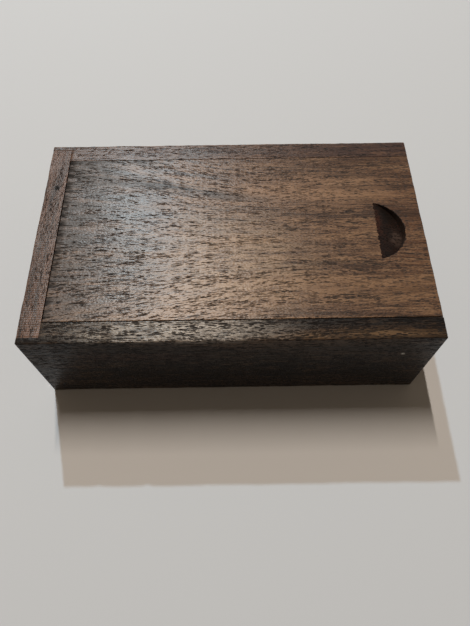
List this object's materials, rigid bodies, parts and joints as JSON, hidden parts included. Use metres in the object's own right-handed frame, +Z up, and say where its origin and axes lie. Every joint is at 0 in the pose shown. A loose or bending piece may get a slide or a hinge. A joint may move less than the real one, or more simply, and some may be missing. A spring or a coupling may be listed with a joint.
{
  "type": "sliding-lid card deck box",
  "caption": "Small rectangular hardwood box for a deck of cards, with a rebated lid that slides out of one end by a half-moon thumb notch.",
  "frame": {"origin": "centre of the rectangle that the box stands on, at the height of that surface", "axes": "+X along the length towards the end that the lid leaves by, +Y to the back, +Z up"},
  "size_m": [0.146, 0.0904, 0.0447],
  "materials": {
    "front_wall": "oiled satin, grain along X",
    "back_wall": "oiled satin, grain along X",
    "closed_end_wall": "oiled satin, grain along Y",
    "open_end_wall": "oiled satin, grain along Y",
    "base_panel": "oiled satin, grain along X",
    "sliding_lid": "oiled satin, grain along X"
  },
  "bodies": {
    "box": {"front_wall": "front_wall", "back_wall": "back_wall", "closed_end_wall": "closed_end_wall", "open_end_wall": "open_end_wall", "base_panel": "base_panel"},
    "lid": {"sliding_lid": "sliding_lid"}
  },
  "joints": [
    {"name": "lid_slide", "type": "slide", "parent": "box", "child": "lid", "axis": [1, 0, 0], "range_m": [0, 0.142]}
  ]
}
